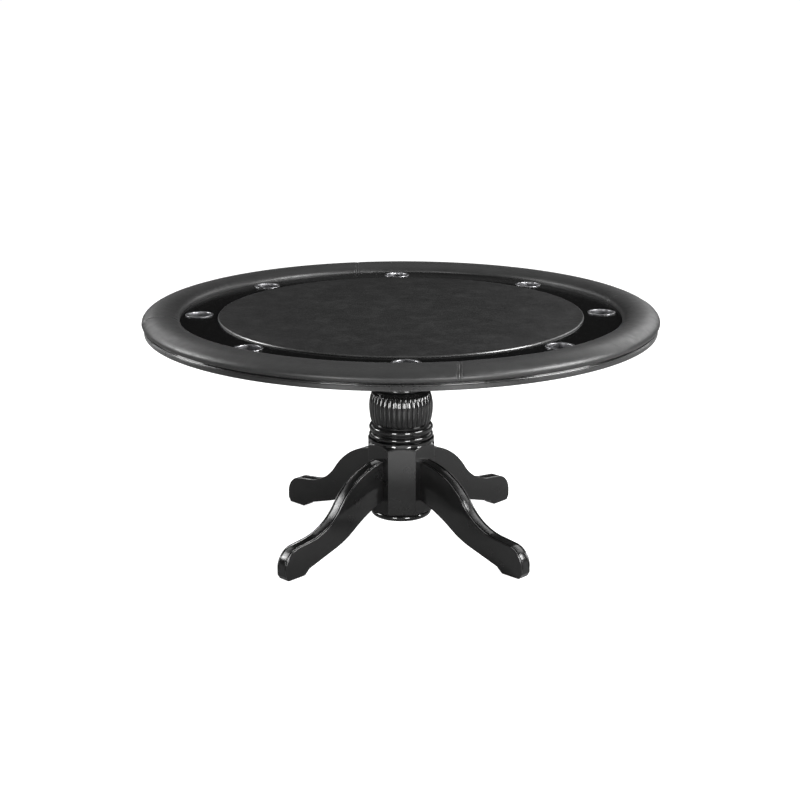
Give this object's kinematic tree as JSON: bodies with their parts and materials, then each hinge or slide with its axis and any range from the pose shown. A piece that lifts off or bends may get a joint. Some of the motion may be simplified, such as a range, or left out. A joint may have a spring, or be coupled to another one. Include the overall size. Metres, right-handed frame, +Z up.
{
  "type": "gaming table",
  "caption": "Round padded gaming table with a glossy racetrack, drop-in cup holders and a reeded pedestal on sabre legs.",
  "frame": {"origin": "on the floor under the axis of the pedestal", "axes": "+Z up, -Y to the front; the legs point along the diagonals and one cup holder is at the front"},
  "size_m": [1.5239, 1.5238, 0.7335],
  "materials": {
    "rail_vinyl": "soft semi-matt black vinyl",
    "foam": "grey upholstery foam",
    "plywood": "bare plywood",
    "play_vinyl": "matt charcoal vinyl",
    "racetrack_lacquer": "high gloss black lacquer",
    "deck_board": "black painted board",
    "black_wood": "satin black paint on turned and sawn hardwood",
    "cup_metal": "dark gunmetal, smooth",
    "glide_plastic": "black plastic",
    "fastener_steel": "zinc plated steel"
  },
  "bodies": {
    "table": {"rail_cover": "rail_vinyl", "rail_foam_1": "foam", "rail_foam_2": "foam", "rail_foam_3": "foam", "rail_foam_4": "foam", "rail_core": "plywood", "play_cover": "play_vinyl", "play_foam": "foam", "play_board": "plywood", "racetrack_ring": "racetrack_lacquer", "deck": "deck_board", "apron_band_1": "black_wood", "apron_band_2": "black_wood", "apron_band_3": "black_wood", "apron_band_4": "black_wood", "bearer_crosswise": "black_wood", "bearer_lengthwise": "black_wood", "pedestal_top_plate": "black_wood", "neck_turning": "black_wood", "reeded_urn": "black_wood", "ring_collar": "black_wood", "octagonal_post": "black_wood", "bottom_cap": "black_wood", "leg_front_left": "black_wood", "leg_front_right": "black_wood", "leg_rear_left": "black_wood", "leg_rear_right": "black_wood", "foot_glides": "glide_plastic", "leg_hanger_bolts": "fastener_steel", "leg_bolt_washers": "fastener_steel", "leg_bolt_nuts": "fastener_steel", "tie_rod": "fastener_steel", "tie_rod_nuts": "fastener_steel", "tie_rod_washers": "fastener_steel", "plate_bolts": "fastener_steel", "plate_bolt_washers": "fastener_steel", "threaded_inserts": "fastener_steel", "bearer_screws": "fastener_steel", "rail_screws": "fastener_steel", "play_board_screws": "fastener_steel", "racetrack_screws": "fastener_steel", "cap_screws": "fastener_steel"},
    "cup_1": {"cup_holder_1": "cup_metal"},
    "cup_2": {"cup_holder_2": "cup_metal"},
    "cup_3": {"cup_holder_3": "cup_metal"},
    "cup_4": {"cup_holder_4": "cup_metal"},
    "cup_5": {"cup_holder_5": "cup_metal"},
    "cup_6": {"cup_holder_6": "cup_metal"},
    "cup_7": {"cup_holder_7": "cup_metal"},
    "cup_8": {"cup_holder_8": "cup_metal"}
  },
  "joints": [
    {"name": "cup_1_lift", "type": "slide", "parent": "table", "child": "cup_1", "axis": [0, 0, 1], "range_m": [0, 0.1]},
    {"name": "cup_2_lift", "type": "slide", "parent": "table", "child": "cup_2", "axis": [0, 0, 1], "range_m": [0, 0.1]},
    {"name": "cup_3_lift", "type": "slide", "parent": "table", "child": "cup_3", "axis": [0, 0, 1], "range_m": [0, 0.1]},
    {"name": "cup_4_lift", "type": "slide", "parent": "table", "child": "cup_4", "axis": [0, 0, 1], "range_m": [0, 0.1]},
    {"name": "cup_5_lift", "type": "slide", "parent": "table", "child": "cup_5", "axis": [0, 0, 1], "range_m": [0, 0.1]},
    {"name": "cup_6_lift", "type": "slide", "parent": "table", "child": "cup_6", "axis": [0, 0, 1], "range_m": [0, 0.1]},
    {"name": "cup_7_lift", "type": "slide", "parent": "table", "child": "cup_7", "axis": [0, 0, 1], "range_m": [0, 0.1]},
    {"name": "cup_8_lift", "type": "slide", "parent": "table", "child": "cup_8", "axis": [0, 0, 1], "range_m": [0, 0.1]}
  ]
}
